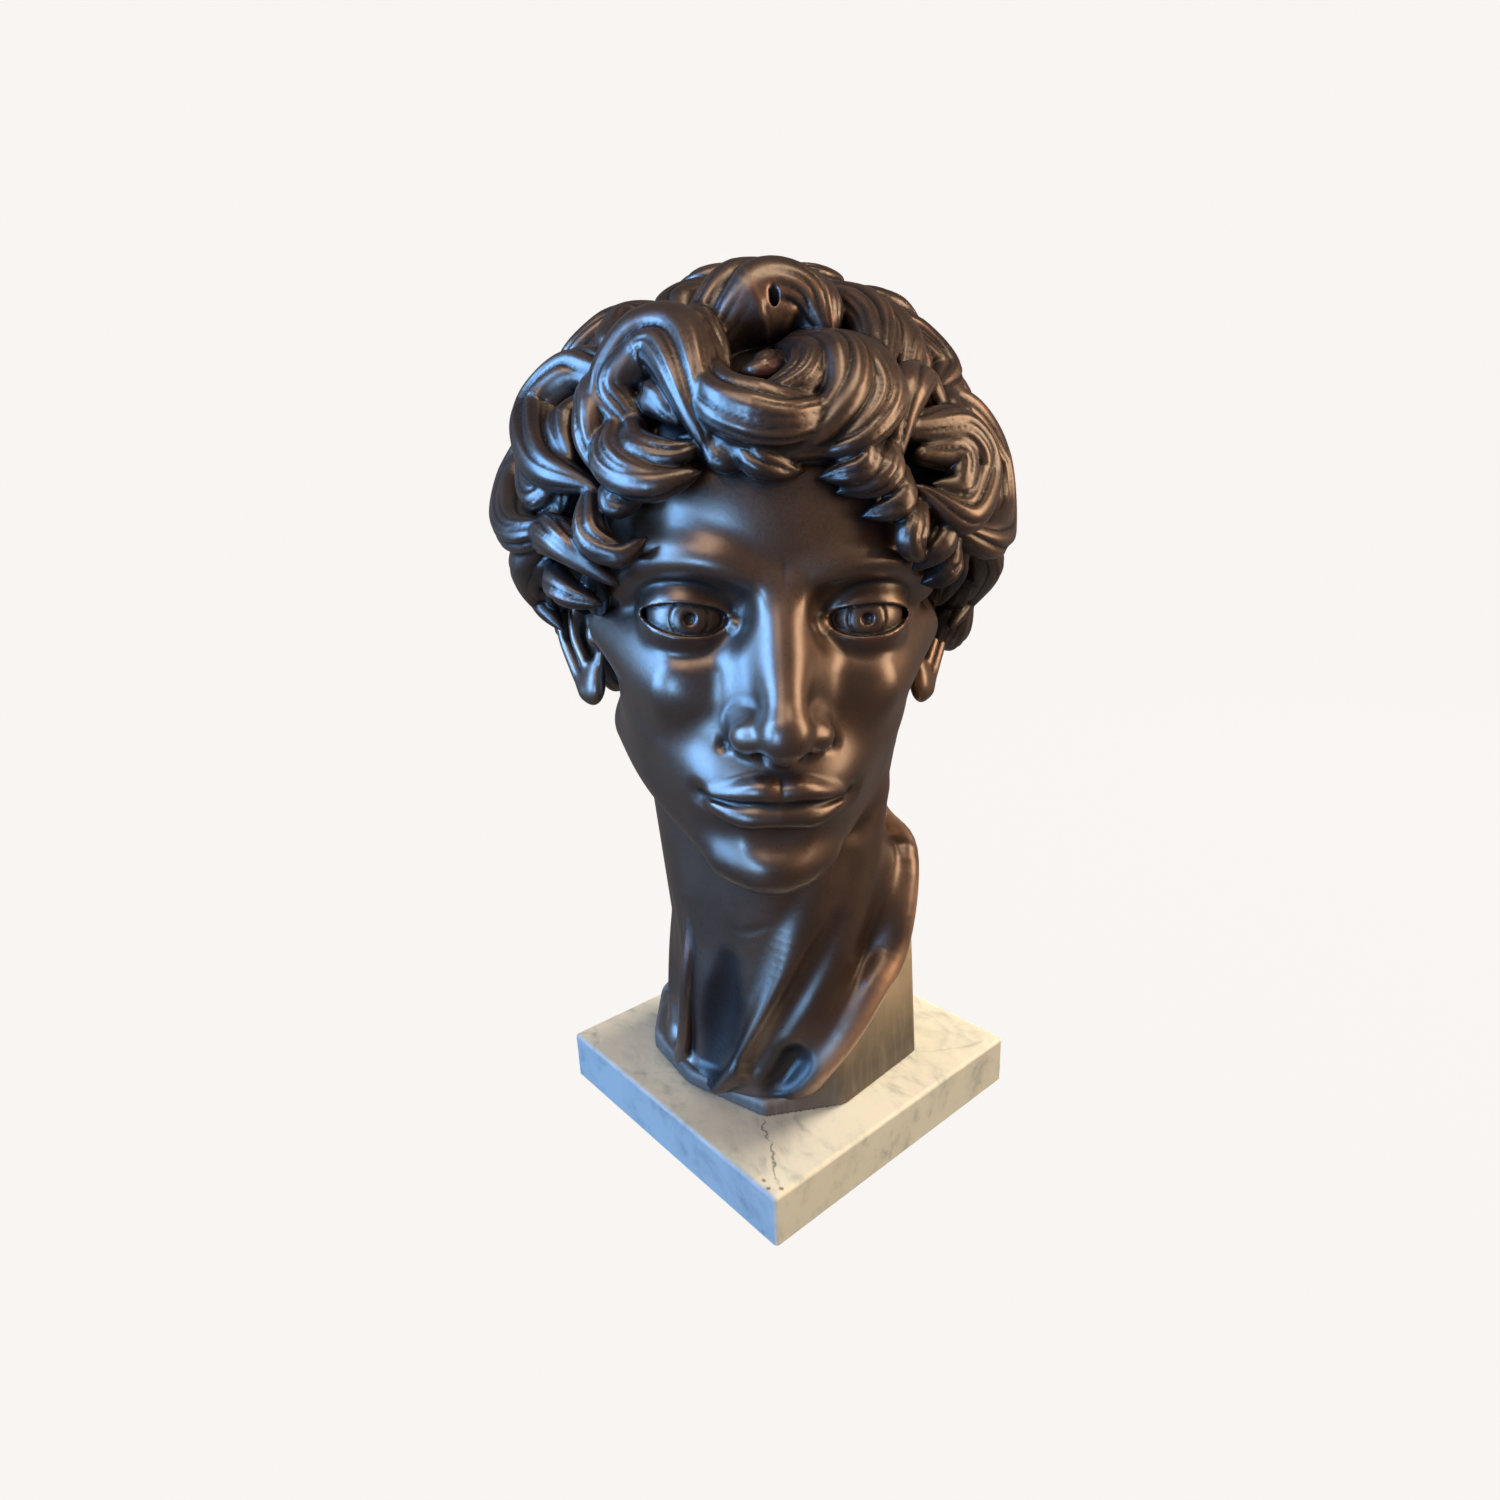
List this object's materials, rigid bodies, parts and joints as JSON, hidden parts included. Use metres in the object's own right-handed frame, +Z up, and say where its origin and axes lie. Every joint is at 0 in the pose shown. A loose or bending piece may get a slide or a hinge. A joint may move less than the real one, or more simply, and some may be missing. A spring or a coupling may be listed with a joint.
{
  "type": "portrait bust on square base",
  "caption": "Head and neck of a curly-haired figure, bronze-finished hollow resin casting, standing on a square white marble base with felt underneath.",
  "frame": {"origin": "middle of the felt's underside, on the table", "axes": "+Z up; the slab's sides lie along X and Y; -Y is the side the chest faces; the head is turned to its own left, towards +X"},
  "size_m": [0.1934, 0.189, 0.3214],
  "materials": {
    "bronze_finish": "dark brown bronze patina, satin, worn to copper on the ridges",
    "marble": "white with soft grey veins, honed",
    "felt": "short felt",
    "plaster": "cast plaster, matt",
    "steel": "zinc plated"
  },
  "bodies": {
    "root": {"bust_casting": "bronze_finish", "marble_base": "marble", "felt_pad": "felt", "plaster_core": "plaster", "threaded_stud": "steel", "anchor_nut": "steel", "anchor_washer": "steel", "base_washer": "steel", "spring_washer": "steel", "base_nut": "steel"}
  },
  "joints": []
}
